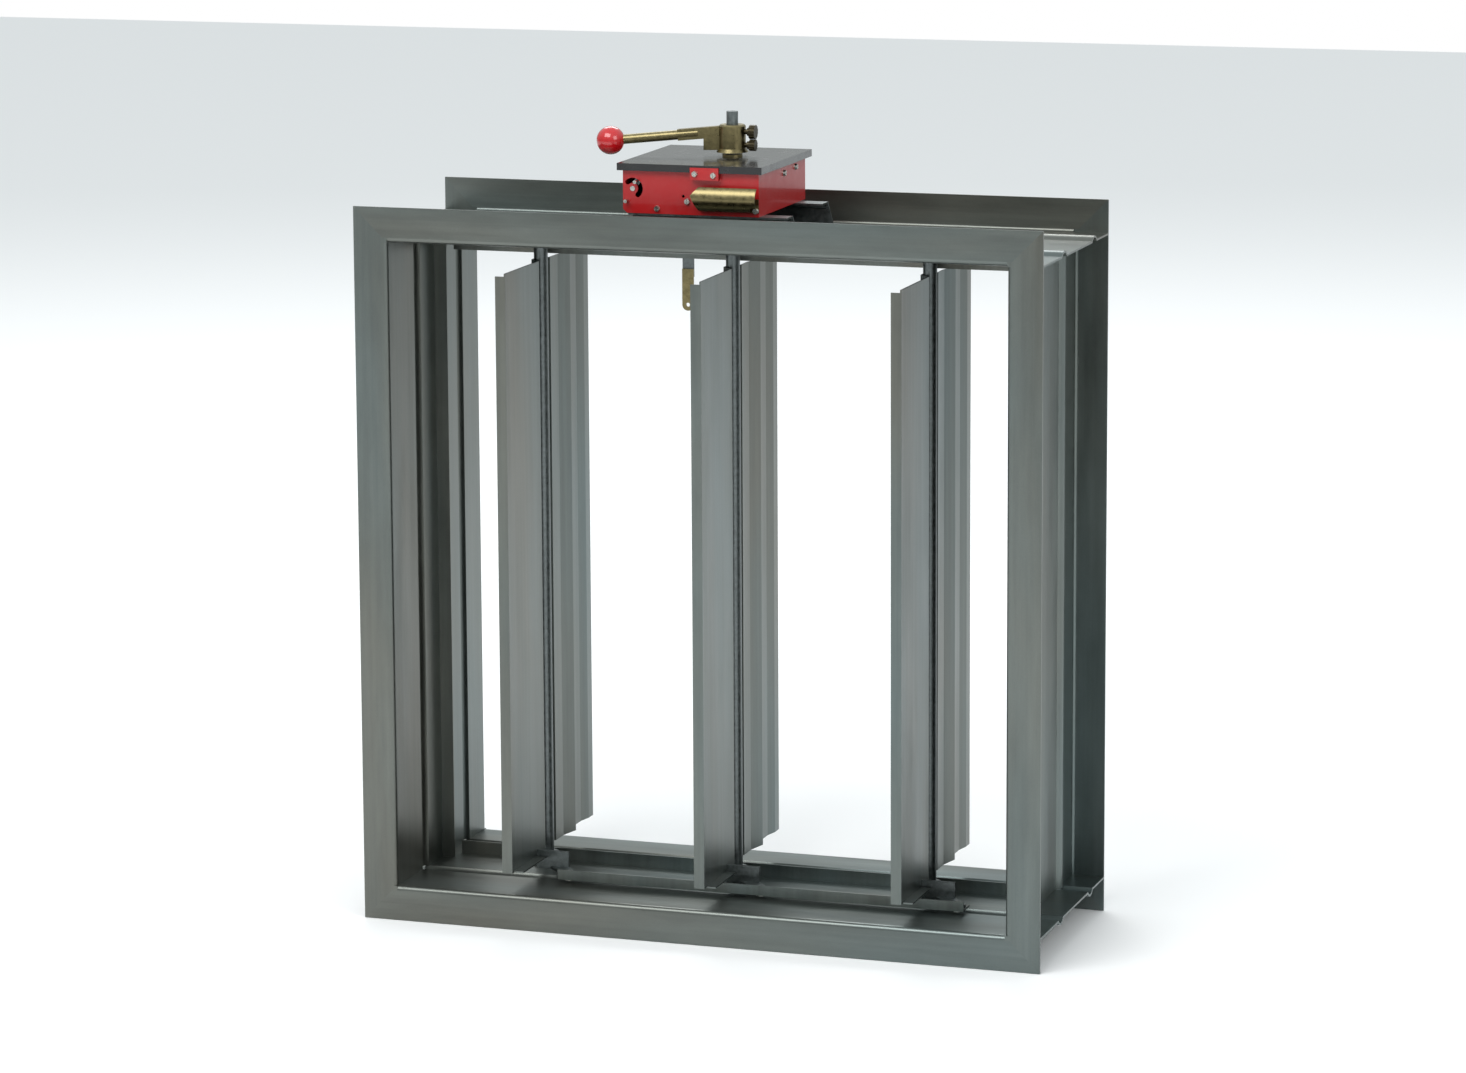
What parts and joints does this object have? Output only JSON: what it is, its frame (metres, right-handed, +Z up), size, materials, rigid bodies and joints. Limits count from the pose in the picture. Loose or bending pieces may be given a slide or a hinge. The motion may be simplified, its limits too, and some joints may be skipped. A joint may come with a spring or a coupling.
{
  "type": "multi-blade fire damper",
  "caption": "Rectangular galvanised fire damper: upright parallel blades on one link bar, with a red hand-reset release box and lever.",
  "frame": {"origin": "middle of the frame's foot, at the bottom of the bounding box", "axes": "+X along the width, +Y with the air stream from the front flange to the rear flange, +Z up along the blades"},
  "size_m": [0.7, 0.25, 0.81],
  "materials": {
    "galvanised": "zinc-coated sheet, satin, streaked",
    "dull_steel": "dull zinc",
    "zinc": "bright zinc plate",
    "red_paint": "semi-gloss paint",
    "black_paint": "gloss paint",
    "black_plastic": "matte",
    "white_plastic": "matte",
    "red_ball": "gloss",
    "brass": "dull plated brass colour",
    "dark_brass": "darkened"
  },
  "bodies": {
    "frame": {"frame_top": "galvanised", "frame_bottom": "galvanised", "frame_left": "galvanised", "frame_right": "galvanised", "stop_top": "galvanised", "stop_bottom": "galvanised", "stop_left": "galvanised", "stop_right": "galvanised", "top_bush_1": "dull_steel", "top_bush_2": "dull_steel", "top_bush_3": "dull_steel", "bottom_bush_1": "dull_steel", "bottom_bush_2": "dull_steel", "bottom_bush_3": "dull_steel", "bracket_front": "dull_steel", "bracket_rear": "dull_steel", "box": "red_paint", "box_lid": "black_paint", "lid_bush": "brass", "box_screws": "zinc", "terminal_block": "white_plastic", "terminal_cover": "brass", "latch_pivot": "zinc", "stop_pin": "zinc", "return_spring": "dull_steel", "position_switch": "black_plastic", "link_holder": "dull_steel", "fusible_link": "brass"},
    "blade_left": {"blade_1": "galvanised", "shaft_1": "dull_steel", "crank_1": "dull_steel", "crank_pin_1": "zinc"},
    "blade_middle": {"blade_2": "galvanised", "shaft_2": "dull_steel", "crank_2": "dull_steel", "crank_pin_2": "zinc", "drive_cam": "dull_steel", "lever_hub": "brass", "lever_rod": "brass", "ball_knob": "red_ball"},
    "blade_right": {"blade_3": "galvanised", "shaft_3": "dull_steel", "crank_3": "dull_steel", "crank_pin_3": "zinc"},
    "link": {"link_bar": "galvanised"},
    "latch": {"latch_lever": "dull_steel", "release_pin": "zinc"},
    "screw_upper": {"thumb_screw_upper": "dark_brass"},
    "screw_lower": {"thumb_screw_lower": "dark_brass"}
  },
  "joints": [
    {"name": "blade_middle_turn", "type": "hinge", "parent": "frame", "child": "blade_middle", "pos_m": [0, 0.005, 0.36], "axis": [0, 0, 1], "range_deg": [-84, 0]},
    {"name": "blade_left_turn", "type": "hinge", "parent": "frame", "child": "blade_left", "pos_m": [-0.202, 0.005, 0.36], "axis": [0, 0, 1], "range_deg": [-84, 0]},
    {"name": "blade_right_turn", "type": "hinge", "parent": "frame", "child": "blade_right", "pos_m": [0.202, 0.005, 0.36], "axis": [0, 0, 1], "range_deg": [-84, 0]},
    {"name": "link_turn", "type": "hinge", "parent": "blade_middle", "child": "link", "pos_m": [0.046, -0.055, 0.04], "axis": [0, 0, 1], "range_deg": [0, 84]},
    {"name": "latch_turn", "type": "hinge", "parent": "frame", "child": "latch", "pos_m": [-0.075, -0.075, 0.741], "axis": [0, -1, 0], "range_deg": [-110, 70]},
    {"name": "screw_upper_turn", "type": "hinge", "parent": "blade_middle", "child": "screw_upper", "pos_m": [0.012, 0.005, 0.79], "axis": [1, 0, 0], "continuous": true},
    {"name": "screw_lower_turn", "type": "hinge", "parent": "blade_middle", "child": "screw_lower", "pos_m": [0.012, 0.005, 0.777], "axis": [1, 0, 0], "continuous": true}
  ],
  "couplings": [
    {"joint": "blade_left_turn", "follows": "blade_middle_turn", "ratio": 1},
    {"joint": "blade_right_turn", "follows": "blade_middle_turn", "ratio": 1},
    {"joint": "link_turn", "follows": "blade_middle_turn", "ratio": -1}
  ]
}
